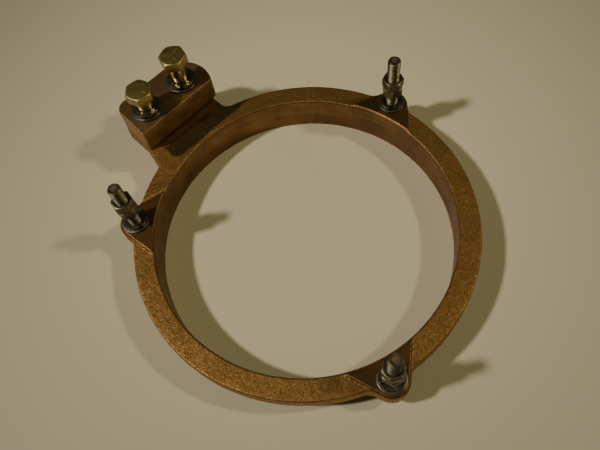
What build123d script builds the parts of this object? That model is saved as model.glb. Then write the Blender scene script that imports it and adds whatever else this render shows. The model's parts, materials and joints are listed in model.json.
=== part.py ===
from build123d import *
import os
from math import cos, radians, sin, tan

# Cast bronze clamp ring for an eight-inch pipe, in millimetres.
# Three ears carry bolts with washers and paired nuts, and a radial pad carries a two-bolt keeper bar.
# Origin: on the bore axis, in the face that the collar stands on.
# +Z runs along the bore, towards the nuts. +Y runs out through the keeper bar, between its bolts.

# Ring: a flat flange with a thinner collar below it.
BORE_RADIUS = 111.125
FLANGE_WIDTH = 15.875
FLANGE_THICKNESS = 12.7
COLLAR_WALL = 7.94
COLLAR_DEPTH = 17.5
BORE_CHAMFER = 0.8
EDGE_ROUND = 1.2

# Ears: bosses on the outer edge, flaring in to the bore, each with a raised machined face.
EAR_ANGLES = {"left": 131.0, "right": 11.0, "rear": 251.0}
EAR_RADIUS = 12.7
EAR_INSET = 0.5
EAR_FLARE = 34.0
EAR_FILLET = 10.0
EAR_RAISE = 1.0
SPOT_FACE_MARGIN = 1.2

# Ear bolts, with their nuts and washers.
EAR_BOLT_DIAMETER = 9.525
EAR_BOLT_LENGTH = 63.5
EAR_HEX_ACROSS_FLATS = 14.29
EAR_HEAD_HEIGHT = 6.0
EAR_NUT_HEIGHT = 8.33
EAR_FLAT_WASHER_DIAMETER = 20.6
EAR_FLAT_WASHER_THICKNESS = 1.6
EAR_LOCK_WASHER_DIAMETER = 17.3
EAR_LOCK_WASHER_THICKNESS = 2.4

# How each ear's hardware stands: the bare thread under the nuts, and the turn of each piece.
NUT_GAP = {"left": 13.0, "right": 9.5, "rear": 8.0}
LOWER_NUT_TURN = {"left": 31.0, "right": 43.5, "rear": 43.5}
UPPER_NUT_TURN = {"left": 22.0, "right": 13.5, "rear": 26.0}
EAR_SPLIT_TURN = {"left": -86.0, "right": -141.0, "rear": 172.0}

# Pad and neck: the flange carried outwards under the keeper bar, its left side flaring to the ring.
PAD_WIDTH = 68.0
PAD_SHIFT = -0.5
NECK_FLARE = 6.0
NECK_FLARE_LENGTH = 25.0
NECK_FILLET = 8.0
PAD_CORNER = 8.0
LAND_HEIGHT = 1.0
LAND_INSET = 3.0

# Keeper bar: its left end is straight, its right end one long curve.
KEEPER_STANDOFF = 9.5
KEEPER_LENGTH = 71.0
KEEPER_SHIFT = 0.7
KEEPER_WIDTH = 37.5
KEEPER_THICKNESS = 21.0
KEEPER_TAPER = 1.0
KEEPER_END_BULGE = 3.6
KEEPER_END_PEAK = 13.5
KEEPER_END_DROP = 10.5
KEEPER_OUTER_CORNER = 9.0
KEEPER_INNER_CORNER = 2.0
KEEPER_EDGE_ROUND = 0.8

# Keeper bolts, standing off the bar, with their washers.
BOLT_SPACING = 36.0
BOLT_SHIFT = 0.8
BOLT_SETBACK = 16.0
KEEPER_BOLT_DIAMETER = 12.7
KEEPER_BOLT_LENGTH = 50.8
KEEPER_HEX_ACROSS_FLATS = 19.05
KEEPER_HEAD_HEIGHT = 7.9
KEEPER_BOLT_STAND_OFF = {"left": 11.0, "right": 17.5}
KEEPER_FLAT_WASHER_DIAMETER = 24.6
KEEPER_FLAT_WASHER_THICKNESS = 2.4
KEEPER_LOCK_WASHER_DIAMETER = 21.8
KEEPER_LOCK_WASHER_THICKNESS = 3.1
KEEPER_BOLT_TURN = {"left": 48.7, "right": 17.4}
KEEPER_SPLIT_TURN = {"left": -60.0, "right": -118.0}

# Clearances on the radius, and small details of the fasteners.
RUNNING_CLEARANCE = 0.05
EAR_HOLE_CLEARANCE = 0.08
WASHER_CLEARANCE = 0.4
THREAD_CHAMFER = 1.0
HEX_CHAMFER_ANGLE = 30.0
HEX_FACE_SHARE = 0.95
WASHER_CHAMFER = 0.25
WASHER_SPLIT = 1.2
WASHER_SPLIT_SLANT = 35.0
GRADE_LINE_WIDTH = 1.1
GRADE_LINE_HEIGHT = 0.35
GRADE_LINE_COUNT = 3
GRADE_LINE_START_SHARE = 0.14
GRADE_LINE_END_SHARE = 0.38

RING_RADIUS = BORE_RADIUS + FLANGE_WIDTH
RING_TOP = COLLAR_DEPTH + FLANGE_THICKNESS
BORE_WALL_TOP = RING_TOP - BORE_CHAMFER
COLLAR_RADIUS = BORE_RADIUS + COLLAR_WALL
EAR_CIRCLE_RADIUS = RING_RADIUS - EAR_INSET
EAR_TOP = RING_TOP + EAR_RAISE
LAND_TOP = RING_TOP + LAND_HEIGHT
KEEPER_TOP = LAND_TOP + KEEPER_THICKNESS
KEEPER_NEAR_Y = RING_RADIUS + KEEPER_STANDOFF
KEEPER_FAR_Y = KEEPER_NEAR_Y + KEEPER_WIDTH
KEEPER_MIDDLE_Y = KEEPER_NEAR_Y + KEEPER_WIDTH / 2
KEEPER_BOLT_Y = KEEPER_NEAR_Y + BOLT_SETBACK
KEEPER_BOLT_X = {"left": BOLT_SHIFT - BOLT_SPACING / 2, "right": BOLT_SHIFT + BOLT_SPACING / 2}


def ear_outline(boss_radius):
    """The plan of an ear on the +Y side: a boss circle, and tangent sides flaring past the bore."""
    flare = radians(EAR_FLARE)
    side_x = boss_radius * cos(flare)
    side_y = EAR_CIRCLE_RADIUS + boss_radius * sin(flare)
    inner_y = RING_RADIUS - 2 * FLANGE_WIDTH
    inner_x = side_x + (side_y - inner_y) * tan(flare)
    wedge = Polygon(
        (side_x, side_y), (-side_x, side_y), (-inner_x, inner_y), (inner_x, inner_y), align=None
    )
    return wedge + Pos(0, EAR_CIRCLE_RADIUS) * Circle(boss_radius)


def at_ear(shape, angle):
    """Turn a shape made on the +Y side to an ear at the given angle from +X."""
    return Rot(0, 0, angle - 90) * shape


def pad_outline():
    """The plan of the neck and pad, from inside the flange to the keeper bar's far edge."""
    left_x = PAD_SHIFT - PAD_WIDTH / 2
    right_x = PAD_SHIFT + PAD_WIDTH / 2
    root_x = left_x - NECK_FLARE
    start_y = BORE_RADIUS + FLANGE_WIDTH / 2
    plan = Polygon(
        (root_x, start_y), (right_x, start_y), (right_x, KEEPER_FAR_Y), (left_x, KEEPER_FAR_Y),
        (left_x, start_y + NECK_FLARE_LENGTH), align=None,
    )
    return fillet(plan.vertices().group_by(Axis.Y)[-1], PAD_CORNER)


def on_ring_edge(vertex):
    return abs(Vector(vertex.X, vertex.Y).length - RING_RADIUS) < 0.01


def flange_outline():
    """The flange's plan: disc, ears and pad. The neck's left root stays a sharp corner."""
    plan = Circle(RING_RADIUS) + pad_outline()
    plan = fillet(plan.vertices().filter_by(on_ring_edge).sort_by(Axis.X)[-1], NECK_FILLET)
    for angle in EAR_ANGLES.values():
        before = plan.vertices()
        plan = plan + at_ear(ear_outline(EAR_RADIUS), angle)
        corners = [v for v in plan.vertices() if on_ring_edge(v)]
        new = [v for v in corners if min(v.distance_to(w) for w in before) > 0.01]
        plan = fillet(new, EAR_FILLET)
    return plan


def bore_cutter():
    """The bore, with a small chamfer at its upper mouth."""
    past = 2 * EAR_RAISE
    wide = BORE_RADIUS + BORE_CHAMFER + past
    section = Polyline(
        (0, -past), (BORE_RADIUS, -past), (BORE_RADIUS, BORE_WALL_TOP),
        (wide, RING_TOP + past), (0, RING_TOP + past), close=True,
    )
    return revolve(Plane.XZ * make_face(section), Axis.Z)


def ear_cutters(angle):
    """An ear's bolt hole, and the spot face under it that clears the turning bolt head."""
    corner_radius = EAR_HEX_ACROSS_FLATS / 2 / cos(radians(30))
    hole = cylinder_up(EAR_BOLT_DIAMETER / 2 + EAR_HOLE_CLEARANCE, COLLAR_DEPTH - 1, EAR_TOP + 1)
    spot_face = cylinder_up(corner_radius + SPOT_FACE_MARGIN, -1, COLLAR_DEPTH)
    return [at_ear(Pos(0, EAR_CIRCLE_RADIUS, 0) * cut, angle) for cut in (hole, spot_face)]


def cylinder_up(radius, low, high):
    return Pos(0, 0, low) * Cylinder(radius, high - low, align=(Align.CENTER, Align.CENTER, Align.MIN))


def clamp_ring():
    """The casting: flange, collar, ears, neck and pad, with its bore and bolt holes."""
    flange = Pos(0, 0, COLLAR_DEPTH) * extrude(flange_outline(), FLANGE_THICKNESS)
    flange = fillet(flange.edges().group_by(Axis.Z)[-1], EDGE_ROUND)
    body = flange + cylinder_up(COLLAR_RADIUS, 0, COLLAR_DEPTH + 1)
    for angle in EAR_ANGLES.values():
        face = extrude(ear_outline(EAR_RADIUS - EDGE_ROUND), EAR_RAISE + 1)
        body = body + at_ear(Pos(0, 0, RING_TOP - 1) * face, angle)
    land_length = min(PAD_WIDTH, KEEPER_LENGTH) - 2 * LAND_INSET
    land_width = KEEPER_WIDTH - 2 * LAND_INSET
    land = Box(land_length, land_width, LAND_HEIGHT + 1, align=(Align.CENTER, Align.CENTER, Align.MAX))
    body = body + Pos(PAD_SHIFT, KEEPER_MIDDLE_Y, LAND_TOP) * land
    body = body - bore_cutter()
    for angle in EAR_ANGLES.values():
        for cut in ear_cutters(angle):
            body = body - cut
    for bolt_x in KEEPER_BOLT_X.values():
        tapped = cylinder_up(KEEPER_BOLT_DIAMETER / 2 + RUNNING_CLEARANCE, COLLAR_DEPTH - 1, LAND_TOP + 1)
        body = body - Pos(bolt_x, KEEPER_BOLT_Y, 0) * tapped
    return body


def keeper_bar():
    """The thick bar that clamps down on the land."""
    left_x = KEEPER_SHIFT - KEEPER_LENGTH / 2
    right_x = KEEPER_SHIFT + KEEPER_LENGTH / 2
    near_right = (right_x, KEEPER_NEAR_Y)
    far_right = (right_x - KEEPER_END_DROP, KEEPER_FAR_Y)
    peak = (right_x + KEEPER_END_BULGE, KEEPER_NEAR_Y + KEEPER_END_PEAK)
    straight = Polyline(far_right, (left_x + KEEPER_TAPER, KEEPER_FAR_Y), (left_x, KEEPER_NEAR_Y), near_right)
    plan = make_face(straight + ThreePointArc(near_right, peak, far_right))
    far_left = plan.vertices().group_by(Axis.Y)[-1].sort_by(Axis.X)[0]
    plan = fillet(far_left, KEEPER_OUTER_CORNER)
    plan = fillet(plan.vertices().group_by(Axis.Y)[0], KEEPER_INNER_CORNER)
    bar = Pos(0, 0, LAND_TOP) * extrude(plan, KEEPER_THICKNESS)
    bar = fillet(bar.edges().group_by(Axis.Z)[-1] + bar.edges().group_by(Axis.Z)[0], KEEPER_EDGE_ROUND)
    for bolt_x in KEEPER_BOLT_X.values():
        hole = cylinder_up(KEEPER_BOLT_DIAMETER / 2 + WASHER_CLEARANCE, LAND_TOP - 1, KEEPER_TOP + 1)
        bar = bar - Pos(bolt_x, KEEPER_BOLT_Y, 0) * hole
    return bar


def chamfered_hex(across_flats, height, turn, both_ends):
    """A hexagonal prism from z = 0 up, with its corners turned off at the top, or at both ends."""
    flat_radius = across_flats / 2
    corner_radius = flat_radius / cos(radians(30))
    face_radius = flat_radius * HEX_FACE_SHARE
    drop = (corner_radius - face_radius) * tan(radians(HEX_CHAMFER_ANGLE))
    low = [(face_radius, 0), (corner_radius, drop)] if both_ends else [(corner_radius, 0)]
    section = Polyline(
        (0, 0), *low, (corner_radius, height - drop), (face_radius, height), (0, height), close=True
    )
    prism = extrude(RegularPolygon(corner_radius, 6, rotation=turn), height)
    return prism & revolve(Plane.XZ * make_face(section), Axis.Z)


def hex_nut(across_flats, height, bolt_diameter, turn):
    """A plain hexagonal nut from z = 0 up; its thread is a running bore."""
    bore = cylinder_up(bolt_diameter / 2 + RUNNING_CLEARANCE, -1, height + 1)
    return chamfered_hex(across_flats, height, turn, both_ends=True) - bore


def hex_bolt(diameter, length, across_flats, head_height, turn, graded=False):
    """A bolt with its head on top, above z = 0, and its shank down to z = -length."""
    head = chamfered_hex(across_flats, head_height, turn, both_ends=False)
    shank = cylinder_up(diameter / 2, -length, head_height / 2)
    shank = chamfer(shank.edges().group_by(Axis.Z)[0], THREAD_CHAMFER)
    bolt = head + shank
    if graded:
        for step in range(GRADE_LINE_COUNT):
            line = grade_line(across_flats, head_height)
            bolt = bolt + Rot(0, 0, turn + 360 * step / GRADE_LINE_COUNT) * line
    return bolt


def grade_line(across_flats, head_height):
    """One raised strength-grade line on a bolt head, running out along +X."""
    inner = across_flats * GRADE_LINE_START_SHARE
    length = across_flats * GRADE_LINE_END_SHARE - inner
    line = Box(
        length, GRADE_LINE_WIDTH, 2 * GRADE_LINE_HEIGHT, align=(Align.MIN, Align.CENTER, Align.CENTER)
    )
    return Pos(inner, 0, head_height) * line


def flat_washer(diameter, thickness, bolt_diameter):
    """A flat washer from z = 0 up, with its outer edges eased."""
    disc = cylinder_up(diameter / 2, 0, thickness)
    disc = chamfer(disc.edges().filter_by(GeomType.CIRCLE), WASHER_CHAMFER)
    return disc - cylinder_up(bolt_diameter / 2 + WASHER_CLEARANCE, -1, thickness + 1)


def lock_washer(diameter, thickness, bolt_diameter, split_turn):
    """A spring lock washer from z = 0 up, cut through on a slant at the given angle from +X."""
    inner_radius = bolt_diameter / 2 + WASHER_CLEARANCE
    ring = cylinder_up(diameter / 2, 0, thickness) - cylinder_up(inner_radius, -1, thickness + 1)
    slot = Box(diameter, WASHER_SPLIT, 3 * thickness, align=(Align.MIN, Align.CENTER, Align.CENTER))
    return ring - Rot(0, 0, split_turn) * Pos(0, 0, thickness / 2) * Rot(WASHER_SPLIT_SLANT, 0, 0) * slot


def ear_hardware(ear):
    """The bolt of one ear, head down, with its washers on the ear and its paired nuts above them."""
    place = Rot(0, 0, EAR_ANGLES[ear]) * Pos(EAR_CIRCLE_RADIUS, 0, 0) * Rot(0, 0, -EAR_ANGLES[ear])
    lock_z = EAR_TOP + EAR_FLAT_WASHER_THICKNESS
    nut_z = lock_z + EAR_LOCK_WASHER_THICKNESS + NUT_GAP[ear]
    bolt = hex_bolt(
        EAR_BOLT_DIAMETER, EAR_BOLT_LENGTH, EAR_HEX_ACROSS_FLATS, EAR_HEAD_HEIGHT, LOWER_NUT_TURN[ear]
    )
    flat = flat_washer(EAR_FLAT_WASHER_DIAMETER, EAR_FLAT_WASHER_THICKNESS, EAR_BOLT_DIAMETER)
    lock = lock_washer(
        EAR_LOCK_WASHER_DIAMETER, EAR_LOCK_WASHER_THICKNESS, EAR_BOLT_DIAMETER, EAR_SPLIT_TURN[ear]
    )
    lower = hex_nut(EAR_HEX_ACROSS_FLATS, EAR_NUT_HEIGHT, EAR_BOLT_DIAMETER, LOWER_NUT_TURN[ear])
    upper = hex_nut(EAR_HEX_ACROSS_FLATS, EAR_NUT_HEIGHT, EAR_BOLT_DIAMETER, UPPER_NUT_TURN[ear])
    return {
        f"{ear}_ear_bolt": place * Pos(0, 0, COLLAR_DEPTH) * Rot(180, 0, 0) * bolt,
        f"{ear}_ear_flat_washer": place * Pos(0, 0, EAR_TOP) * flat,
        f"{ear}_ear_lock_washer": place * Pos(0, 0, lock_z) * lock,
        f"{ear}_lower_nut": place * Pos(0, 0, nut_z) * lower,
        f"{ear}_upper_nut": place * Pos(0, 0, nut_z + EAR_NUT_HEIGHT) * upper,
    }


def keeper_hardware(side):
    """One keeper bolt, standing off its lock washer and flat washer on the bar."""
    place = Pos(KEEPER_BOLT_X[side], KEEPER_BOLT_Y, 0)
    lock_z = KEEPER_TOP + KEEPER_FLAT_WASHER_THICKNESS
    head_z = lock_z + KEEPER_LOCK_WASHER_THICKNESS + KEEPER_BOLT_STAND_OFF[side]
    bolt = hex_bolt(
        KEEPER_BOLT_DIAMETER, KEEPER_BOLT_LENGTH, KEEPER_HEX_ACROSS_FLATS, KEEPER_HEAD_HEIGHT,
        KEEPER_BOLT_TURN[side], graded=True,
    )
    flat = flat_washer(KEEPER_FLAT_WASHER_DIAMETER, KEEPER_FLAT_WASHER_THICKNESS, KEEPER_BOLT_DIAMETER)
    lock = lock_washer(
        KEEPER_LOCK_WASHER_DIAMETER, KEEPER_LOCK_WASHER_THICKNESS, KEEPER_BOLT_DIAMETER,
        KEEPER_SPLIT_TURN[side],
    )
    return {
        f"{side}_keeper_bolt": place * Pos(0, 0, head_z) * bolt,
        f"{side}_keeper_flat_washer": place * Pos(0, 0, KEEPER_TOP) * flat,
        f"{side}_keeper_lock_washer": place * Pos(0, 0, lock_z) * lock,
    }


def all_parts():
    parts = {"clamp_ring": clamp_ring(), "keeper_bar": keeper_bar()}
    for ear in EAR_ANGLES:
        parts.update(ear_hardware(ear))
    for side in KEEPER_BOLT_X:
        parts.update(keeper_hardware(side))
    return parts


os.makedirs("parts", exist_ok=True)
for name, shape in all_parts().items():
    export_step(shape, f"parts/{name}.step")
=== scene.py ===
"""Looks of a cast bronze clamp ring with a keeper bar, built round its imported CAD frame, in metres."""
import json
import math

import bmesh
import bpy
import numpy as np
from mathutils import Matrix, Vector, noise

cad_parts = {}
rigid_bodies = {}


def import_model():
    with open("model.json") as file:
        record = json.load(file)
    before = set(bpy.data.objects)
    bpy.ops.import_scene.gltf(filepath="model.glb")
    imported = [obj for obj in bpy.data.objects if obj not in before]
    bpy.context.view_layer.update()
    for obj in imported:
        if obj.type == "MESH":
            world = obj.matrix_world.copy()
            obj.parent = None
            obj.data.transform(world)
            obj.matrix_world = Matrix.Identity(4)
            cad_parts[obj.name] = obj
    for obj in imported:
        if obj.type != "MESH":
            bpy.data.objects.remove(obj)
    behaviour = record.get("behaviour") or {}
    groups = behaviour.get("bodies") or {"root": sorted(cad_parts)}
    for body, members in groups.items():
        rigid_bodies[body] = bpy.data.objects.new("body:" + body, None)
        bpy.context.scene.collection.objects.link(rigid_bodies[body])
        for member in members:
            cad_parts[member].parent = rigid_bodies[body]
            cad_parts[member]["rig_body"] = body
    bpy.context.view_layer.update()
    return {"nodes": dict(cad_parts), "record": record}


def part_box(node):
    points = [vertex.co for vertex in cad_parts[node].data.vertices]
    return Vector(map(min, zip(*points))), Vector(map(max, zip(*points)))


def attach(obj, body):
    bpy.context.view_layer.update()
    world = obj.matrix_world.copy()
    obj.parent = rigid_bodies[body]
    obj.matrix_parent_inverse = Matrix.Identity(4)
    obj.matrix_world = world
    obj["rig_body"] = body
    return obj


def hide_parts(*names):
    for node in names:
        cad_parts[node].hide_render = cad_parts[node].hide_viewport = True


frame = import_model()
MM = 0.001

# The ears and the keeper's two sides, as the CAD nodes' names begin.
EARS = ("left", "right", "rear")
SIDES = ("left", "right")

# Fasteners, inch hardware. A hexagon's radius is half its width across flats.
EAR_BOLT_RADIUS = 9.525 / 2 * MM
EAR_HEX_RADIUS = 14.29 / 2 * MM
EAR_HEAD_HEIGHT = 6 * MM
EAR_PITCH = 1.5875 * MM
KEEPER_BOLT_RADIUS = 12.7 / 2 * MM
KEEPER_HEX_RADIUS = 19.05 / 2 * MM
KEEPER_HEAD_HEIGHT = 7.9 * MM
KEEPER_PITCH = 1.9538 * MM
KEEPER_THREAD_LENGTH = 31.75 * MM
NUT_CLEARANCE = 0.05 * MM
WASHER_CLEARANCE = 0.4 * MM
SHANK_OVERLAP = 1 * MM
THREAD_DEPTH_SHARE = 0.5
THREAD_PROFILE = ((0.0, 0), (0.16, 0), (0.46, 1), (0.70, 1))
THREAD_SIDES = 40
TIP_CHAMFER = 1.0 * MM
EAR_TIP_MARKS = ((0.5 * MM, -0.05 * MM), (0.9 * MM, 0.08 * MM), (1.1 * MM, -0.1 * MM))
KEEPER_TIP_MARKS = ((0.6 * MM, 0.05 * MM),)
TIP_REACH = 0.01 * MM
TIP_TILT = 0.7
HEX_HALF_SIDE = math.radians(30)
HEX_CHAMFER = math.tan(math.radians(30))
HEX_FACE_SHARE = 0.95
CORNER_ROUND = 0.5 * MM
CORNER_STEPS = 4
FLAT_STEPS = 6
EDGE_SOFTNESS = 0.12 * MM
EDGE_INSET = EDGE_SOFTNESS * 0.9
NUT_SINK = 0.45 * MM
EAR_SPLIT_TURN = {"left": -86.0, "right": -141.0, "rear": 172.0}
KEEPER_SPLIT_TURN = {"left": -60.0, "right": -118.0}
SPLIT_GAP = 1.2 * MM
SPLIT_SLANT = math.tan(math.radians(35))
SPRING_RISE = 0.35 * MM
SPRING_EASE = 0.25 * MM
SPRING_TAPER = 0.97
SPRING_STEPS = 64
WASHER_ROLL = 0.3 * MM
WASHER_BURR = 0.1 * MM
WASHER_SIDES = 72

# The raised grade lines: the CAD's height for them, then their shape as shares of the hexagon.
CAD_GRADE_RISE = 0.35 * MM
GRADE_COUNT = 3
GRADE_START = 0.28
GRADE_LENGTH = 0.48
GRADE_HALF_WIDTH = 0.60 * MM
GRADE_RISE = 0.34 * MM
GRADE_SINK = 0.3 * MM
GRADE_TOP_SHARE = 0.75

# Sizes that the frame gives.
MOUNTS = {mount["name"]: mount for mount in frame["record"]["mounts"]}
BORE_RADIUS = MOUNTS["bore"]["dims"]["r_mm"] * MM
RING_TOP = MOUNTS["ring_face"]["pos_m"][2]
LAND_TOP = MOUNTS["keeper_jaw"]["pos_m"][2]
EAR_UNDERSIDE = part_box("left_ear_bolt")[0].z + EAR_HEAD_HEIGHT
EAR_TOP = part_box("left_ear_flat_washer")[0].z

# The casting: its outer radius, how finely it is remeshed, and the faces kept true.
RING_RADIUS = 127 * MM
CAST_VOXEL = 0.7 * MM
SNAP_REACH = 0.45 * MM
WALL_TILT = 0.35
FACE_TILT = 0.6
EAR_FACE_SNAP = 0.2 * MM
STANDING_SNAP = 0.3 * MM
LAND_SNAP = 0.25 * MM
EAR_SEAT_REACH = 10.5 * MM
EAR_SURROUND = 34 * MM
KEEPER_SEAT_REACH = 8 * MM

# The casting's relief: height and size of its grains and waves.
SAND_RELIEF = 0.07 * MM
SAND_SIZE = 1.9 * MM
COARSE_SAND_SIZE = SAND_SIZE * 2.4
WAVE_RELIEF = 0.16 * MM
WAVE_SIZE = 14 * MM

# Flow ripples beside the left ear: where they lie, and each one's distance and share of the height.
RIPPLES = ((2.2 * MM, 1.0), (5.0 * MM, 0.8), (8.2 * MM, 0.45))
RIPPLE_HEIGHT = 0.55 * MM
RIPPLE_WIDTH = 1.3 * MM
RIPPLE_BEND = 0.9 * MM
RIPPLE_BEND_SIZE = 9 * MM
RIPPLE_FROM = math.radians(105)
RIPPLE_TO = math.radians(131)
RIPPLE_TILT = 0.8
RIPPLE_ABOVE = 0.4 * MM
RIPPLE_BELOW = 1 * MM
EAR_FLARE = math.radians(34)
EAR_CORNER_RADIUS = 12.7 * MM

# The casting's finishes, in the order of its material slots, and where they meet.
SKIN, MACHINED, BORED, SEAM = range(4)
MOUTH_WIDTH = 2.2 * MM
MOUTH_DEPTH = 1 * MM
SEAM_RISE = 0.2 * MM
SLOPE_FROM = -0.2
SLOPE_TO = 0.93

# The bar: remesh size, the faces kept flat, its relief, and its top darkened as painted shade.
BAR_VOXEL = 0.6 * MM
BAR_FLAT_TILT = 0.98
BAR_FOOT = 0.3 * MM
BAR_WAVE_RELIEF = 0.12 * MM
BAR_WAVE_SIZE = 11 * MM
BAR_GRAIN_RELIEF = 0.05 * MM
BAR_GRAIN_SIZE = 2.5 * MM
BAR_SHADED_TOP_DEPTH = 0.7 * MM
BAR_SHADED_TOP_FADE = 0.5 * MM

# The painted shade on the neck, in front of the bar and shaped like its shadow: its sides, corner and soft
# edge, and how it thins towards the bar.
NECK_SHADE_LEFT = -26 * MM
NECK_SHADE_NEAR = 114.5 * MM
NECK_SHADE_CORNER = 7 * MM
NECK_SHADE_EDGE = 1.4 * MM
NECK_SHADE_THIN_FROM = 128 * MM
NECK_SHADE_THIN_WIDTH = 3 * MM
NECK_SHADE_THINNING = 0.45
NECK_SHADE_STRENGTH = 0.95
NECK_SHADE_WANDER = 3 * MM
NECK_SHADE_WANDER_SIZE = 8 * MM

# The camera: where it stands round the ring, and how it is aimed.
VIEW_AZIMUTH = math.radians(-36)
VIEW_ELEVATION = math.radians(63.227)
VIEW_ROLL = math.radians(-10.536)
VIEW_DISTANCE = 0.49659
VIEW_TARGET = Vector((-0.002938, 0.016073, 0))
LENS = 37.973
SENSOR = 36.0
CLIP_START = 0.01

# Lights: direction before the view's azimuth turns it, power in watts, width and colour.
LIGHT_DISTANCE = 5.0
LIGHTS = {
    "key": (Vector((-0.79, -0.085, 1)), 120, 0.38, (1.0, 0.915, 0.745)),
    "second": (Vector((0.856, -0.115, 1)), 54, 0.38, (1.0, 0.90, 0.56)),
}

# The floor, whose painted glow is centred beside the ring, and the light of the room.
FLOOR_REACH = 6.0
TABLE_GLOW_REACH = 0.36
TABLE_GLOW_CENTRE = Vector((0.035, 0.0485, 0))
ROOM_LIGHT = (0.041, 0.036, 0.019)


# ---- mesh helpers ----

def polar(radius, angle, z=0.0):
    return Vector((radius * math.cos(angle), radius * math.sin(angle), z))


def joined(*shells):
    """Several (vertices, faces) shells as one."""
    vertices, faces = [], []
    for points, loops in shells:
        start = len(vertices)
        vertices += points
        faces += [[start + i for i in loop] for loop in loops]
    return vertices, faces


def loft(rings, closed=False):
    """Skin over rings of as many points each; closed joins the last ring to the first."""
    size = len(rings[0])
    vertices = [point for ring in rings for point in ring]
    faces = []
    last = len(rings) if closed else len(rings) - 1
    for i in range(last):
        low, high = i * size, (i + 1) % len(rings) * size
        for j in range(size):
            k = (j + 1) % size
            faces.append([low + j, low + k, high + k, high + j])
    if not closed:
        faces.append(list(range(size))[::-1])
        faces.append([len(vertices) - size + j for j in range(size)])
    return vertices, faces


def mesh_object(name, vertices, faces, sharp_degrees=35):
    mesh = bpy.data.meshes.new(name)
    mesh.from_pydata(vertices, [], faces)
    bm = bmesh.new()
    bm.from_mesh(mesh)
    bmesh.ops.remove_doubles(bm, verts=bm.verts, dist=2e-6)
    bmesh.ops.dissolve_degenerate(bm, edges=bm.edges, dist=1e-6)
    bmesh.ops.recalc_face_normals(bm, faces=bm.faces)
    bm.to_mesh(mesh)
    bm.free()
    finish_shading(mesh, sharp_degrees)
    piece = bpy.data.objects.new(name, mesh)
    bpy.context.scene.collection.objects.link(piece)
    return piece


def finish_shading(mesh, sharp_degrees):
    mesh.polygons.foreach_set("use_smooth", [True] * len(mesh.polygons))
    mesh.set_sharp_from_angle(angle=math.radians(sharp_degrees))
    mesh.update()


def settle(piece, node, material, more=()):
    """Make a piece stand for a CAD node, on that node's body and in its material slot."""
    body = frame["nodes"][node]["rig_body"]
    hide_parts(node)
    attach(piece, body)
    for finish in (material, *more):
        piece.data.materials.append(finish)


def node_axis(node):
    low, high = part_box(node)
    return Vector(((low.x + high.x) / 2, (low.y + high.y) / 2, 0))


def corner_turn(node, axis):
    """The angle of a hexagon's corner: the direction of the CAD node's farthest point from its axis."""
    far = max((v.co - axis for v in frame["nodes"][node].data.vertices), key=lambda p: p.xy.length)
    return math.atan2(far.y, far.x)


# ---- fasteners ----

def rounded_hexagon(flat_radius, turn):
    """A hexagon's outline with rounded corners: each corner's arc, then points along the flat."""
    corner = flat_radius / math.cos(HEX_HALF_SIDE)
    centre = corner - CORNER_ROUND / math.cos(HEX_HALF_SIDE)
    outline = []
    for side in range(6):
        angle = turn + math.radians(60 * side)
        for step in range(CORNER_STEPS + 1):
            bend = math.radians(60 / CORNER_STEPS * step - 30)
            outline.append(polar(centre, angle) + polar(CORNER_ROUND, angle + bend))
        start = outline[-1]
        following = polar(centre, angle + 2 * HEX_HALF_SIDE) + polar(CORNER_ROUND, angle + HEX_HALF_SIDE)
        outline += [start.lerp(following, step / FLAT_STEPS) for step in range(1, FLAT_STEPS)]
    return outline


def hexagon(flat_radius, low, high, turn, bore_radius, both_ends):
    """A hexagonal prism whose corners are turned off on a cone; a nut has a countersunk bore."""
    outline = rounded_hexagon(flat_radius, turn)
    face_radius = flat_radius * HEX_FACE_SHARE
    spin = [math.atan2(p.y, p.x) for p in outline]

    def circle(radius, z):
        return [polar(radius, angle, z) for angle in spin]

    def side(inset, direction, end, turned):
        ring = []
        for point in outline:
            drop = max(0.0, point.length - face_radius) * HEX_CHAMFER if turned else 0.0
            flat = point * (1 - inset / point.length)
            ring.append(Vector((flat.x, flat.y, end + direction * (drop + EDGE_SOFTNESS - inset))))
        return ring

    rings = [
        circle(face_radius - 2 * EDGE_SOFTNESS, low),
        circle(face_radius, low + (EDGE_SOFTNESS if both_ends else 0) / 3),
        side(EDGE_INSET, 1, low, both_ends),
        side(0, 1, low + EDGE_SOFTNESS, both_ends),
        side(0, -1, high - EDGE_SOFTNESS, True),
        side(EDGE_INSET, -1, high, True),
        circle(face_radius, high - EDGE_SOFTNESS / 3),
        circle(face_radius - 2 * EDGE_SOFTNESS, high),
    ]
    if not bore_radius:
        return loft(rings)
    lower = [circle(bore_radius, low + NUT_SINK), circle(bore_radius + NUT_SINK, low)]
    upper = [circle(bore_radius + NUT_SINK, high), circle(bore_radius, high - NUT_SINK)]
    return loft([*lower, *rings, *upper], closed=True)


def threaded_shank(radius, low, high, pitch, thread_low, thread_high, chamfered):
    """A shank from low to high. Its thread is one helical grid whose rows follow the helix."""
    depth = pitch * THREAD_DEPTH_SHARE
    per_turn = len(THREAD_PROFILE)
    turns = math.ceil((high - low) / pitch) + 2
    rows = turns * per_turn
    fade = pitch
    vertices = []
    for row in range(rows + 1):
        share, cut = THREAD_PROFILE[row % per_turn]
        for column in range(THREAD_SIDES):
            z = low - pitch + pitch * (row // per_turn + share + column / THREAD_SIDES)
            z = min(max(z, low), high)
            inside = min((z - thread_low) / fade, (thread_high - z) / fade, 1.0)
            wide = radius - depth * cut * max(inside, 0.0)
            for end in chamfered:
                wide = min(wide, radius - TIP_CHAMFER + abs(z - end))
            vertices.append(polar(wide, 2 * math.pi * column / THREAD_SIDES, z))
    faces = []
    for row in range(rows):
        for column in range(THREAD_SIDES - 1):
            here = row * THREAD_SIDES + column
            faces.append([here, here + 1, here + 1 + THREAD_SIDES, here + THREAD_SIDES])
        here = row * THREAD_SIDES + THREAD_SIDES - 1
        across = (row + per_turn) * THREAD_SIDES
        if row + per_turn + 1 <= rows:
            faces.append([here, across, across + THREAD_SIDES, here + THREAD_SIDES])
    return vertices, faces


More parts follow.
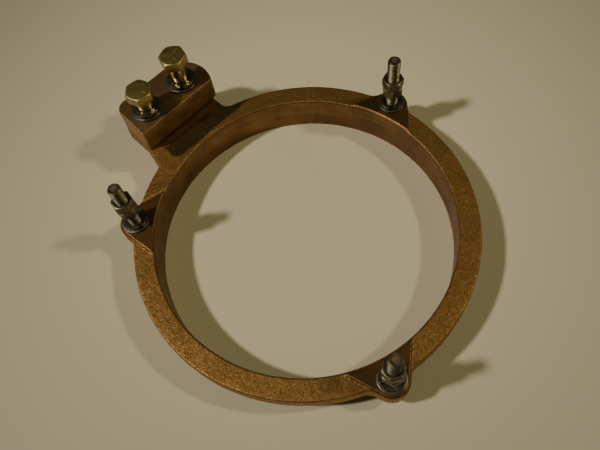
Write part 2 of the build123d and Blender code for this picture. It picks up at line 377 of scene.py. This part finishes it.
def close_ends(piece, tip_z, tip_marks):
    """Fill the shank's open ends, and turn rings into the tip's face."""
    bm = bmesh.new()
    bm.from_mesh(piece.data)
    edges = [edge for edge in bm.edges if edge.is_boundary]
    made = bmesh.ops.holes_fill(bm, edges=edges)["faces"]
    for face in made:
        if abs(face.calc_center_median().z - tip_z) > TIP_REACH:
            continue
        for thickness, depth in tip_marks:
            bmesh.ops.inset_individual(bm, faces=[face], thickness=thickness, depth=depth)
        face.material_index = 1
        for edge in face.edges:
            for near in edge.link_faces:
                if abs(near.normal.z) > TIP_TILT:
                    near.material_index = 1
    bmesh.ops.recalc_face_normals(bm, faces=bm.faces)
    bm.to_mesh(piece.data)
    bm.free()
    finish_shading(piece.data, 35)


def ear_bolt(ear, steel, tip_finish):
    """One ear's bolt: fully threaded, its hex head under the ear and its turned tip up."""
    node = f"{ear}_ear_bolt"
    low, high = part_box(node)
    axis = node_axis(node)
    shank = threaded_shank(
        EAR_BOLT_RADIUS, EAR_UNDERSIDE - SHANK_OVERLAP, high.z, EAR_PITCH,
        EAR_UNDERSIDE, high.z + EAR_PITCH, [high.z]
    )
    piece = mesh_object(f"{ear}_stud", *shank)
    close_ends(piece, high.z, EAR_TIP_MARKS)
    turn = corner_turn(node, axis)
    head = hexagon(EAR_HEX_RADIUS, low.z, EAR_UNDERSIDE, turn, 0, True)
    merge(piece, mesh_object("head", *head))
    piece.location = axis
    settle(piece, node, steel, [tip_finish])


def merge(piece, other):
    """Add another object's mesh to a piece, and remove the other."""
    bm = bmesh.new()
    bm.from_mesh(piece.data)
    bm.from_mesh(other.data)
    bm.to_mesh(piece.data)
    bm.free()
    bpy.data.objects.remove(other)
    finish_shading(piece.data, 35)


def nut(node, name, steel):
    low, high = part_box(node)
    axis = node_axis(node)
    turn = corner_turn(node, axis)
    shell = hexagon(EAR_HEX_RADIUS, low.z, high.z, turn, EAR_BOLT_RADIUS + NUT_CLEARANCE, True)
    piece = mesh_object(name, *shell, sharp_degrees=28)
    piece.location = axis
    settle(piece, node, steel)


def flat_washer(node, name, inner_radius, steel):
    """A punched washer: one edge rolled over, the other slightly burred."""
    low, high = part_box(node)
    outer = (high.x - low.x) / 2
    roll = WASHER_ROLL
    burr = WASHER_BURR
    profile = [
        (inner_radius, low.z + burr), (inner_radius + burr, low.z),
        (outer - burr, low.z), (outer, low.z + burr),
        (outer, high.z - roll), (outer - roll * 0.3, high.z - roll * 0.3), (outer - roll, high.z),
        (inner_radius + roll, high.z), (inner_radius + roll * 0.3, high.z - roll * 0.3),
        (inner_radius, high.z - roll),
    ]
    angles = [2 * math.pi * side / WASHER_SIDES for side in range(WASHER_SIDES)]
    rings = [[polar(radius, angle, z) for angle in angles] for radius, z in profile]
    piece = mesh_object(name, *loft(rings, closed=True), sharp_degrees=50)
    piece.location = node_axis(node)
    settle(piece, node, steel)


def lock_washer(node, name, inner_radius, split_degrees, steel):
    """A split spring washer: a bar wound once, with slanted ends, one of them risen."""
    low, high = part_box(node)
    outer = (high.x - low.x) / 2
    middle = (inner_radius + outer) / 2
    height = high.z - low.z - SPRING_RISE
    ease = SPRING_EASE
    section = [
        (inner_radius + ease, 0), (outer - ease, 0), (outer, ease),
        (outer, height - ease), (outer - ease, height), (inner_radius + ease, height * SPRING_TAPER),
        (inner_radius, height - 1.5 * ease), (inner_radius, ease),
    ]
    half_gap = SPLIT_GAP / 2 / middle
    start = math.radians(split_degrees) + half_gap
    sweep = 2 * math.pi - 2 * half_gap
    rings = []
    for step in range(SPRING_STEPS + 1):
        share = step / SPRING_STEPS
        ring = []
        for radius, z in section:
            slant = (z - height / 2) * SPLIT_SLANT / middle
            ring.append(polar(radius, start + sweep * share - slant, low.z + z + SPRING_RISE * share))
        rings.append(ring)
    piece = mesh_object(name, *loft(rings), sharp_degrees=40)
    piece.location = node_axis(node)
    settle(piece, node, steel)


def grade_line(inner, length, z, angle):
    """A raised strength line with softened sides."""
    spin = Matrix.Rotation(angle, 3, "Z")
    rings = []
    for share, grow in ((0, 1.0), (1, GRADE_TOP_SHARE)):
        wide = GRADE_HALF_WIDTH * grow
        along = length * (1 - 0.1 * share) / 2
        height = z - GRADE_SINK + (GRADE_RISE + GRADE_SINK) * share
        corners = [(-along, -wide), (along, -wide), (along, wide), (-along, wide)]
        rings.append([spin @ Vector((inner + length / 2 + x, y, height)) for x, y in corners])
    return loft(rings)


def keeper_bolt(side, finish, tip_finish):
    """One keeper bolt: a graded hex head, a smooth bright shank and a thread hidden below."""
    node = f"{side}_keeper_bolt"
    low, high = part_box(node)
    axis = node_axis(node)
    head_top = high.z - CAD_GRADE_RISE
    head_low = head_top - KEEPER_HEAD_HEIGHT
    turn = corner_turn(node, axis)
    shank = threaded_shank(
        KEEPER_BOLT_RADIUS, low.z, head_low + SHANK_OVERLAP, KEEPER_PITCH,
        low.z - KEEPER_PITCH, low.z + KEEPER_THREAD_LENGTH, [low.z]
    )
    piece = mesh_object(f"{side}_clamp_bolt", *shank)
    close_ends(piece, low.z, KEEPER_TIP_MARKS)
    piece.data.polygons.foreach_set("material_index", [1] * len(piece.data.polygons))
    start = KEEPER_HEX_RADIUS * GRADE_START
    length = KEEPER_HEX_RADIUS * GRADE_LENGTH
    angles = [turn + math.radians(360 / GRADE_COUNT * k) for k in range(GRADE_COUNT)]
    lines = [grade_line(start, length, head_top, angle) for angle in angles]
    head = hexagon(KEEPER_HEX_RADIUS, head_low, head_top, turn, 0, False)
    merge(piece, mesh_object("head", *joined(head, *lines)))
    piece.location = axis
    settle(piece, node, finish, [tip_finish])


# ---- castings ----

def fine_copy(node, name, voxel):
    """A copy of a CAD node as an even, fine mesh that can take relief."""
    piece = bpy.data.objects.new(name, frame["nodes"][node].data.copy())
    piece.data.materials.clear()
    bpy.context.scene.collection.objects.link(piece)
    bm = bmesh.new()
    bm.from_mesh(piece.data)
    bmesh.ops.remove_doubles(bm, verts=bm.verts, dist=1e-6)
    bm.to_mesh(piece.data)
    bm.free()
    remesh = piece.modifiers.new("fine", "REMESH")
    remesh.mode = "VOXEL"
    remesh.voxel_size = voxel
    graph = bpy.context.evaluated_depsgraph_get()
    mesh = bpy.data.meshes.new_from_object(piece.evaluated_get(graph))
    piece.modifiers.clear()
    piece.data = mesh
    return piece


def coordinates(mesh):
    points = np.zeros(len(mesh.vertices) * 3)
    mesh.vertices.foreach_get("co", points)
    return points.reshape(-1, 3)


def normals(mesh):
    values = np.zeros(len(mesh.vertices) * 3)
    mesh.vertex_normals.foreach_get("vector", values)
    return values.reshape(-1, 3)


def field(points, size, seed):
    """Smooth noise in -1..1 at each point, with features of the given size."""
    shift = Vector((seed * 7.3, seed * 3.1, seed * 5.7))
    return np.array([noise.noise(Vector(p) / size + shift) for p in points])


def snap(points, where, axis_points, radius):
    """Bring the points at a round wall onto its true radius."""
    across = points[:, :2] - axis_points
    distance = np.hypot(*across.T)
    near = where & (np.abs(distance - radius) < SNAP_REACH)
    points[near, :2] = axis_points + across[near] * (radius / distance[near])[:, None]
    return near


def axis_point(node):
    return np.array(node_axis(node))[:2]


def near_axes(points, nodes, reach):
    """Which points lie within reach of the upright axis of any of these CAD nodes."""
    found = np.zeros(len(points), bool)
    for node in nodes:
        found |= np.hypot(*(points[:, :2] - axis_point(node)).T) < reach
    return found


def level(points, which, height):
    """Put these points at one height, and hand the choice back."""
    points[which, 2] = height
    return which


def displace(mesh, points, facing, relief):
    """Move the points along their normals, and write them to the mesh."""
    points += facing * relief[:, None]
    mesh.vertices.foreach_set("co", points.ravel())
    mesh.polygons.foreach_set("use_smooth", [True] * len(mesh.polygons))
    mesh.update()


def first_corners(mesh):
    """The first vertex of each face."""
    corners = np.zeros(len(mesh.loops), int)
    mesh.loops.foreach_get("vertex_index", corners)
    starts = np.zeros(len(mesh.polygons), int)
    mesh.polygons.foreach_get("loop_start", starts)
    return corners[starts]


def cast_relief(points):
    """Sand grains over long waves."""
    relief = SAND_RELIEF * field(points, SAND_SIZE, 1) + WAVE_RELIEF * field(points, WAVE_SIZE, 2)
    relief += SAND_RELIEF * field(points, COARSE_SAND_SIZE, 3)
    return relief


def ripples(points):
    """Flow ripples on the flange beside the left ear, parallel to its flaring side."""
    ear = axis_point("left_ear_bolt")
    outwards = ear / np.linalg.norm(ear)
    along = np.array((outwards[1], -outwards[0]))
    side_normal = along * math.cos(EAR_FLARE) + outwards * math.sin(EAR_FLARE)
    offset = (points[:, :2] - ear) @ side_normal - EAR_CORNER_RADIUS
    bend = RIPPLE_BEND * field(points, RIPPLE_BEND_SIZE, 31)
    height = np.zeros(len(points))
    for place, share in RIPPLES:
        height += share * np.exp(-(((offset - place + bend) / RIPPLE_WIDTH) ** 2))
    return RIPPLE_HEIGHT * height * (offset > 0)


def rippled(points, tilt, radial):
    """Which points of the flange's face lie where the ripples are."""
    height = points[:, 2]
    top = (tilt > RIPPLE_TILT) & (height < RING_TOP + RIPPLE_ABOVE) & (height > RING_TOP - RIPPLE_BELOW)
    angle = np.arctan2(points[:, 1], points[:, 0])
    return top & (radial < RING_RADIUS) & (angle > RIPPLE_FROM) & (angle < RIPPLE_TO)


def true_faces(points, tilt, radial, near_ear):
    """Bring the machined faces to size, and say which points lie on them or on a bolt's seat."""
    wall = (np.abs(tilt) < WALL_TILT) & (radial < BORE_RADIUS + SNAP_REACH)
    bore = snap(points, wall, np.zeros(2), BORE_RADIUS)
    at_ear = np.abs(points[:, 2] - EAR_TOP) < EAR_FACE_SNAP
    ear_face = level(points, near_ear & at_ear & (tilt > FACE_TILT), EAR_TOP)
    standing = level(points, (points[:, 2] < STANDING_SNAP) & (tilt < -FACE_TILT), 0)
    at_land = np.abs(points[:, 2] - LAND_TOP) < LAND_SNAP
    under_bar = points[:, 1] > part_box("keeper_bar")[0].y
    land = level(points, at_land & (tilt > FACE_TILT) & under_bar, LAND_TOP)
    seats = near_axes(points, [f"{ear}_ear_bolt" for ear in EARS], EAR_SEAT_REACH)
    seats |= near_axes(points, [f"{side}_keeper_bolt" for side in SIDES], KEEPER_SEAT_REACH)
    return bore, ear_face, bore | ear_face | standing | land | seats


def ring_finishes(mesh, points, tilt, radial, bore, ear_face, near_ear):
    """Each face's finish: cast skin, machined ear faces, turned bore with its mouth, and seams darkened as
    painted shade.
    """
    sloping = (tilt > SLOPE_FROM) & (tilt < SLOPE_TO)
    mouth = (radial < BORE_RADIUS + MOUTH_WIDTH) & (points[:, 2] > RING_TOP - MOUTH_DEPTH) & sloping
    # The seams: sloping steps beside the ear faces, which take a finish darkened as painted shade.
    seam = (points[:, 2] > RING_TOP + SEAM_RISE) & near_ear & sloping & ~mouth
    chosen = np.select([bore | mouth, seam, ear_face], [BORED, SEAM, MACHINED], SKIN)
    return chosen[first_corners(mesh)].astype(np.int32)


def cast_ring(finishes):
    """The casting: sandy relief on its cast skin; true bore, ear faces and bolt seats."""
    piece = fine_copy("clamp_ring", "cast_ring", CAST_VOXEL)
    mesh = piece.data
    points = coordinates(mesh)
    facing = normals(mesh)
    tilt = facing[:, 2]
    radial = np.hypot(points[:, 0], points[:, 1])
    near_ear = near_axes(points, [f"{ear}_ear_bolt" for ear in EARS], EAR_SURROUND)
    bore, ear_face, true = true_faces(points, tilt, radial, near_ear)
    relief = np.where(true, 0.0, cast_relief(points))
    relief += np.where(rippled(points, tilt, radial) & ~ear_face, ripples(points), 0.0)
    displace(mesh, points, facing, relief)
    finish_of = ring_finishes(mesh, points, tilt, radial, bore, ear_face, near_ear)
    settle(piece, "clamp_ring", finishes[0], finishes[1:])
    mesh.polygons.foreach_set("material_index", finish_of)
    mesh.update()


def keeper_bar(finish):
    """The bar: flat top and foot, and softly uneven sides."""
    piece = fine_copy("keeper_bar", "keeper_block", BAR_VOXEL)
    mesh = piece.data
    points = coordinates(mesh)
    facing = normals(mesh)
    foot = points[:, 2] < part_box("keeper_bar")[0].z + BAR_FOOT
    flat = (np.abs(facing[:, 2]) > BAR_FLAT_TILT) | foot
    relief = BAR_WAVE_RELIEF * field(points, BAR_WAVE_SIZE, 5)
    relief += BAR_GRAIN_RELIEF * field(points, BAR_GRAIN_SIZE, 6)
    displace(mesh, points, facing, np.where(flat, 0.0, relief))
    settle(piece, "keeper_bar", finish)


# ---- materials ----

class Finish:
    """A node material being put together: its shader, and short ways to add nodes to it."""

    def __init__(self, name, metallic, roughness):
        self.material = bpy.data.materials.new(name)
        self.material.use_nodes = True
        self.tree = self.material.node_tree
        self.tree.nodes.clear()
        output = self.tree.nodes.new("ShaderNodeOutputMaterial")
        self.shader = self.tree.nodes.new("ShaderNodeBsdfPrincipled")
        self.tree.links.new(self.shader.outputs[0], output.inputs[0])
        self.shader.inputs["Metallic"].default_value = metallic
        self.shader.inputs["Roughness"].default_value = roughness
        self.place = self.tree.nodes.new("ShaderNodeTexCoord").outputs["Object"]

    def join(self, source, target):
        self.tree.links.new(source, target)

    def stretched(self, scale, turn=(0, 0, 0), shift=(0, 0, 0)):
        mapping = self.tree.nodes.new("ShaderNodeMapping")
        mapping.inputs["Location"].default_value = shift
        mapping.inputs["Scale"].default_value = scale
        mapping.inputs["Rotation"].default_value = turn
        self.join(self.place, mapping.inputs["Vector"])
        return mapping.outputs[0]

    def noise(self, size, detail=3.0, roughness=0.55, place=None):
        texture = self.tree.nodes.new("ShaderNodeTexNoise")
        texture.inputs["Scale"].default_value = 1 / size
        texture.inputs["Detail"].default_value = detail
        texture.inputs["Roughness"].default_value = roughness
        self.join(place or self.place, texture.inputs["Vector"])
        return texture.outputs["Fac"]

    def ramp(self, value, *stops):
        node = self.tree.nodes.new("ShaderNodeValToRGB")
        points = node.color_ramp.elements
        while len(points) < len(stops):
            points.new(0.5)
        for point, (place, colour) in zip(points, stops):
            point.position = place
            point.color = (*colour, 1) if isinstance(colour, tuple) else (colour, colour, colour, 1)
        self.join(value, node.inputs[0])
        return node.outputs[0]

    def mix(self, share, first, second, blend="MIX"):
        node = self.tree.nodes.new("ShaderNodeMix")
        node.data_type = "RGBA"
        node.blend_type = blend
        for socket, value in ((node.inputs[0], share), (node.inputs[6], first), (node.inputs[7], second)):
            if isinstance(value, bpy.types.NodeSocket):
                self.join(value, socket)
            else:
                socket.default_value = (*value, 1) if isinstance(value, tuple) else value
        return node.outputs[2]

    def maths(self, operation, first, second):
        node = self.tree.nodes.new("ShaderNodeMath")
        node.operation = operation
        for socket, value in zip(node.inputs, (first, second)):
            if isinstance(value, bpy.types.NodeSocket):
                self.join(value, socket)
            else:
                socket.default_value = value
        return node.outputs[0]

    def tint(self, tone, mask, share, colour):
        """Lay a colour over a tone where the mask is white, by the given share."""
        return self.mix(self.maths("MULTIPLY", mask, share), tone, colour)

    def edges(self, low, high):
        """1 on sharp outer edges, where wear and painted edge highlights go; 0 elsewhere."""
        geometry = self.tree.nodes.new("ShaderNodeNewGeometry")
        return self.ramp(geometry.outputs["Pointiness"], (low, 0.0), (high, 1.0))

    def axis(self, name):
        split = self.tree.nodes.new("ShaderNodeSeparateXYZ")
        self.join(self.place, split.inputs[0])
        return split.outputs[name]

    def step(self, value, start, width):
        """0 below a length, 1 above it, softened over the given width."""
        share = self.maths("DIVIDE", self.maths("SUBTRACT", value, start), width)
        return self.ramp(share, (0.0, 0.0), (1.0, 1.0))

    def painted_neck_shade(self):
        """1 on the painted shade of the neck, in front of the bar and shaped like the bar's shadow; its
        outer corner is rounded.
        """
        drift = self.maths("SUBTRACT", self.noise(NECK_SHADE_WANDER_SIZE), 0.5)
        wander = self.maths("MULTIPLY", drift, NECK_SHADE_WANDER)
        across = self.maths("ADD", self.axis("X"), wander)
        along = self.maths("ADD", self.axis("Y"), wander)
        beside_x = self.maths("MAXIMUM", self.maths("SUBTRACT", NECK_SHADE_LEFT + NECK_SHADE_CORNER, across), 0.0)
        beside_y = self.maths("MAXIMUM", self.maths("SUBTRACT", NECK_SHADE_NEAR + NECK_SHADE_CORNER, along), 0.0)
        squares = self.maths("ADD", self.maths("POWER", beside_x, 2.0), self.maths("POWER", beside_y, 2.0))
        inside = self.maths("SUBTRACT", NECK_SHADE_CORNER, self.maths("SQRT", squares, 0.0))
        return self.step(inside, -NECK_SHADE_EDGE / 2, NECK_SHADE_EDGE)

    def colour(self, socket):
        self.join(socket, self.shader.inputs["Base Color"])

    def roughness(self, socket):
        self.join(socket, self.shader.inputs["Roughness"])

    def bump(self, *layers):
        """Stack height layers, each (height socket, depth in metres)."""
        normal = None
        for height, depth in layers:
            node = self.tree.nodes.new("ShaderNodeBump")
            node.inputs["Strength"].default_value = 1.0
            node.inputs["Distance"].default_value = depth
            self.join(height, node.inputs["Height"])
            if normal:
                self.join(normal, node.inputs["Normal"])
            normal = node.outputs[0]
        self.join(normal, self.shader.inputs["Normal"])


def cast_bronze():
    """Sand-cast bronze: golden grains over brown, duller patches, painted glints, worn edges brightened
    also as painted highlight, and painted shade on the neck in front of the bar.
    """
    finish = Finish("cast_bronze_skin", 0.9, 0.5)
    grain = finish.noise(1.1 * MM, 4, 0.7)
    coarse = finish.noise(2.6 * MM, 3, 0.6)
    patch = finish.noise(28 * MM, 3, 0.5)
    tone = finish.ramp(grain, (0.34, (0.16, 0.084, 0.026)), (0.52, (0.36, 0.198, 0.062)),
                       (0.70, (0.56, 0.36, 0.135)))
    dull = finish.ramp(patch, (0.40, 0.0), (0.68, 1.0))
    tone = finish.tint(tone, dull, 0.4, (0.21, 0.115, 0.042))
    # Worn edges, also brightened as a painted highlight.
    worn_and_highlit_edges = finish.edges(0.52, 0.60)
    rubbed_and_highlit = finish.maths("MULTIPLY", worn_and_highlit_edges, finish.ramp(coarse, (0.42, 0.2), (0.62, 1.0)))
    tone = finish.tint(tone, rubbed_and_highlit, 0.4, (0.62, 0.41, 0.17))
    # Painted glints: small bright golden spots.
    painted_glint = finish.ramp(finish.noise(1.6 * MM, 2, 0.5), (0.70, 0.0), (0.76, 1.0))
    tone = finish.tint(tone, painted_glint, 0.6, (0.85, 0.62, 0.28))
    # Painted shade on the neck in front of the bar, in olive; thinner near the bar, where the bar's own
    # shadow falls.
    olive = finish.ramp(grain, (0.36, (0.030, 0.021, 0.009)), (0.66, (0.110, 0.074, 0.030)))
    near_bar = finish.step(finish.axis("Y"), NECK_SHADE_THIN_FROM, NECK_SHADE_THIN_WIDTH)
    thinner = finish.maths("MULTIPLY", near_bar, NECK_SHADE_THINNING)
    dark = finish.maths("MULTIPLY", finish.painted_neck_shade(), finish.maths("SUBTRACT", NECK_SHADE_STRENGTH, thinner))
    tone = finish.mix(dark, tone, olive)
    # Painted sparkle: bright glints along the sharp edges.
    painted_sparkle = finish.ramp(finish.noise(2.2 * MM, 2, 0.5), (0.54, 0.0), (0.60, 1.0))
    tone = finish.tint(tone, finish.edges(0.53, 0.58), painted_sparkle, (1.0, 0.84, 0.48))
    finish.colour(tone)
    finish.roughness(finish.ramp(grain, (0.35, 0.62), (0.65, 0.42)))
    finish.bump((coarse, 0.25 * MM), (grain, 0.20 * MM))
    return finish.material


def machined_bronze():
    """Faced bronze: brown, smooth, with fine turning marks and darker handling stains."""
    finish = Finish("machined_bronze", 0.9, 0.4)
    stain = finish.noise(9 * MM, 4, 0.6)
    fine = finish.noise(0.5 * MM, 3, 0.6, finish.stretched((1, 0.12, 1), (0, 0, math.radians(40))))
    tone = finish.ramp(stain, (0.34, (0.115, 0.058, 0.021)), (0.66, (0.225, 0.120, 0.043)))
    tone = finish.tint(tone, fine, 0.22, (0.38, 0.22, 0.08))
    finish.colour(tone)
    finish.roughness(finish.ramp(stain, (0.3, 0.50), (0.7, 0.36)))
    finish.bump((fine, 0.02 * MM))
    return finish.material


def seam_bronze():
    """The steps beside the ear faces, darkened as painted shade."""
    finish = Finish("seam_bronze", 0.8, 0.6)
    cloud = finish.noise(3 * MM, 3, 0.6)
    finish.colour(finish.ramp(cloud, (0.35, (0.055, 0.030, 0.012)), (0.68, (0.20, 0.115, 0.042))))
    finish.roughness(finish.ramp(cloud, (0.3, 0.70), (0.7, 0.52)))
    return finish.material


def bored_bronze():
    """The bore: turned, then tarnished reddish brown in soft clouds and faint bands."""
    finish = Finish("bored_bronze", 0.9, 0.42)
    bands = finish.noise(2.5 * MM, 3, 0.5, finish.stretched((0.05, 0.05, 1)))
    cloud = finish.noise(22 * MM, 4, 0.55)
    tone = finish.ramp(cloud, (0.36, (0.165, 0.086, 0.036)), (0.66, (0.265, 0.142, 0.060)))
    streak = finish.ramp(bands, (0.40, 0.0), (0.70, 1.0))
    tone = finish.tint(tone, streak, 0.30, (0.36, 0.20, 0.082))
    finish.colour(tone)
    finish.roughness(finish.ramp(cloud, (0.3, 0.48), (0.7, 0.40)))
    finish.bump((bands, 0.03 * MM))
    return finish.material


def keeper_bronze():
    """The bar: drawn bronze with marks along its length, tarnished, its top darkened as painted shade, its
    edges rubbed and brightened also as painted highlight.
    """
    finish = Finish("keeper_bronze_bar", 0.85, 0.42)
    drag = finish.noise(1.2 * MM, 3, 0.6, finish.stretched((0.05, 1, 1)))
    stain = finish.noise(12 * MM, 4, 0.6)
    tone = finish.ramp(stain, (0.35, (0.25, 0.140, 0.062)), (0.68, (0.52, 0.300, 0.130)))
    streak = finish.ramp(drag, (0.4, 0.0), (0.7, 1.0))
    tone = finish.tint(tone, streak, 0.45, (0.54, 0.35, 0.17))
    # Painted shade: the bar's top is darker.
    top = finish.step(finish.axis("Z"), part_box("keeper_bar")[1].z - BAR_SHADED_TOP_DEPTH, BAR_SHADED_TOP_FADE)
    tone = finish.tint(tone, top, 0.6, (0.15, 0.098, 0.052))
    # Rubbed edges, also brightened as a painted highlight.
    tone = finish.tint(tone, finish.edges(0.53, 0.60), 0.4, (0.60, 0.40, 0.19))
    finish.colour(tone)
    finish.roughness(finish.ramp(stain, (0.3, 0.56), (0.7, 0.44)))
    finish.bump((drag, 0.05 * MM))
    return finish.material


def zinc_yellow():
    """Yellow chromate over zinc: olive gold, cloudy, dull on the forged head, bright on the shank, with
    painted highlights on the head's edges.
    """
    finish = Finish("zinc_yellow", 0.9, 0.42)
    cloud = finish.noise(5 * MM, 3, 0.6)
    speck = finish.noise(0.7 * MM, 3, 0.6)
    tone = finish.ramp(cloud, (0.32, (0.22, 0.170, 0.052)), (0.52, (0.31, 0.250, 0.085)),
                       (0.72, (0.38, 0.300, 0.130)))
    spots = finish.ramp(speck, (0.5, 0.0), (0.7, 1.0))
    tone = finish.tint(tone, spots, 0.25, (0.16, 0.120, 0.045))
    # Painted highlights on the head's sharp edges.
    tone = finish.tint(tone, finish.edges(0.515, 0.56), 0.6, (0.62, 0.51, 0.24))
    finish.colour(tone)
    finish.roughness(finish.ramp(speck, (0.3, 0.38), (0.7, 0.52)))
    finish.bump((speck, 0.03 * MM))
    return finish.material


def zinc_shank():
    """The bolt's smooth shank, still bright."""
    finish = Finish("zinc_shank", 1.0, 0.15)
    cloud = finish.noise(6 * MM, 3, 0.6)
    finish.colour(finish.ramp(cloud, (0.3, (0.60, 0.50, 0.25)), (0.7, (0.80, 0.69, 0.42))))
    finish.roughness(finish.ramp(cloud, (0.3, 0.10), (0.7, 0.17)))
    return finish.material


def steel(name, dark, light, roughness):
    """Bare or plated steel, cloudy and lightly scratched."""
    finish = Finish(name, 1.0, roughness)
    cloud = finish.noise(4 * MM, 4, 0.65)
    scratch = finish.noise(0.6 * MM, 3, 0.6, finish.stretched((1, 0.2, 0.5), (0.3, 0.5, 0.7)))
    tone = finish.ramp(cloud, (0.34, dark), (0.68, light))
    finish.colour(tone)
    finish.roughness(finish.ramp(scratch, (0.3, roughness - 0.06), (0.7, roughness + 0.12)))
    finish.bump((scratch, 0.02 * MM))
    return finish.material


def rusted_tip():
    """The turned end of a bolt, browned over."""
    finish = Finish("browned_tip", 0.7, 0.55)
    cloud = finish.noise(1.6 * MM, 4, 0.65)
    finish.colour(finish.ramp(cloud, (0.34, (0.085, 0.050, 0.034)), (0.70, (0.30, 0.20, 0.14))))
    finish.roughness(finish.ramp(cloud, (0.3, 0.65), (0.7, 0.42)))
    finish.bump((cloud, 0.06 * MM))
    return finish.material


def pale_table():
    """A plain cream table with a painted pool of light: brightest near the ring and a little darker away
    from it.
    """
    finish = Finish("pale_table", 0.0, 0.55)
    glow = finish.tree.nodes.new("ShaderNodeTexGradient")
    glow.gradient_type = "SPHERICAL"
    middle = -TABLE_GLOW_CENTRE / TABLE_GLOW_REACH
    finish.join(finish.stretched((1 / TABLE_GLOW_REACH,) * 3, shift=middle), glow.inputs["Vector"])
    speck = finish.noise(3 * MM, 4, 0.6)
    # Painted light: the tone follows the spherical glow outwards from beside the ring.
    tone = finish.ramp(glow.outputs["Fac"], (0.0, (0.42, 0.395, 0.30)), (0.62, (0.76, 0.70, 0.52)))
    fleck = finish.ramp(speck, (0.74, 0.0), (0.80, 1.0))
    finish.colour(finish.tint(tone, fleck, 0.35, (0.42, 0.40, 0.33)))
    finish.shader.inputs["Specular IOR Level"].default_value = 0.3
    return finish.material


# ---- the stage ----

def floor():
    mesh = bpy.data.meshes.new("floor")
    corners = [(-1, -1), (1, -1), (1, 1), (-1, 1)]
    mesh.from_pydata([(x * FLOOR_REACH, y * FLOOR_REACH, 0) for x, y in corners], [], [(0, 1, 2, 3)])
    table = bpy.data.objects.new("floor", mesh)
    bpy.context.scene.collection.objects.link(table)
    table.data.materials.append(pale_table())


def lights():
    turn = Matrix.Rotation(VIEW_AZIMUTH, 3, "Z")
    for name, (direction, power, width, colour) in LIGHTS.items():
        data = bpy.data.lights.new(name, "AREA")
        data.shape = "DISK"
        data.size = width
        data.energy = power
        data.color = colour
        lamp = bpy.data.objects.new(name, data)
        bpy.context.scene.collection.objects.link(lamp)
        away = turn @ direction.normalized()
        lamp.location = away * LIGHT_DISTANCE
        lamp.rotation_mode = "QUATERNION"
        lamp.rotation_quaternion = away.to_track_quat("Z", "Y")
    world = bpy.data.worlds.new("room")
    world.use_nodes = True
    world.node_tree.nodes["Background"].inputs[0].default_value = (*ROOM_LIGHT, 1)
    bpy.context.scene.world = world


def camera():
    back = Vector((0, -math.cos(VIEW_ELEVATION), math.sin(VIEW_ELEVATION)))
    right = Vector((1, 0, 0))
    up = back.cross(right)
    rolled_right = math.cos(VIEW_ROLL) * right + math.sin(VIEW_ROLL) * up
    rolled_up = math.cos(VIEW_ROLL) * up - math.sin(VIEW_ROLL) * right
    place = VIEW_TARGET + back * VIEW_DISTANCE
    columns = Matrix((rolled_right, rolled_up, back)).transposed().to_4x4()
    data = bpy.data.cameras.new("camera")
    data.lens = LENS
    data.sensor_width = SENSOR
    data.clip_start = CLIP_START
    eye = bpy.data.objects.new("camera", data)
    bpy.context.scene.collection.objects.link(eye)
    eye.matrix_world = Matrix.Rotation(VIEW_AZIMUTH, 4, "Z") @ Matrix.Translation(place) @ columns
    bpy.context.scene.camera = eye


# ---- the object ----

cast_ring([cast_bronze(), machined_bronze(), bored_bronze(), seam_bronze()])
keeper_bar(keeper_bronze())
bare = steel("bare_steel_thread", (0.09, 0.076, 0.050), (0.22, 0.190, 0.135), 0.42)
washer = steel("washer_steel_satin", (0.11, 0.098, 0.084), (0.27, 0.243, 0.212), 0.34)
tip = rusted_tip()
for ear in EARS:
    ear_bolt(ear, bare, tip)
    nut(f"{ear}_lower_nut", f"{ear}_jam_nut", bare)
    nut(f"{ear}_upper_nut", f"{ear}_top_nut", bare)
    hole = EAR_BOLT_RADIUS + WASHER_CLEARANCE
    flat_washer(f"{ear}_ear_flat_washer", f"{ear}_plain_washer", hole, washer)
    lock_washer(f"{ear}_ear_lock_washer", f"{ear}_spring_washer", hole, EAR_SPLIT_TURN[ear], washer)
zinc = zinc_yellow()
zinc_bright = zinc_shank()
for side in SIDES:
    keeper_bolt(side, zinc, zinc_bright)
    hole = KEEPER_BOLT_RADIUS + WASHER_CLEARANCE
    split = KEEPER_SPLIT_TURN[side]
    flat_washer(f"{side}_keeper_flat_washer", f"{side}_bar_washer", hole, washer)
    lock_washer(f"{side}_keeper_lock_washer", f"{side}_bar_spring_washer", hole, split, washer)

floor()
lights()
camera()
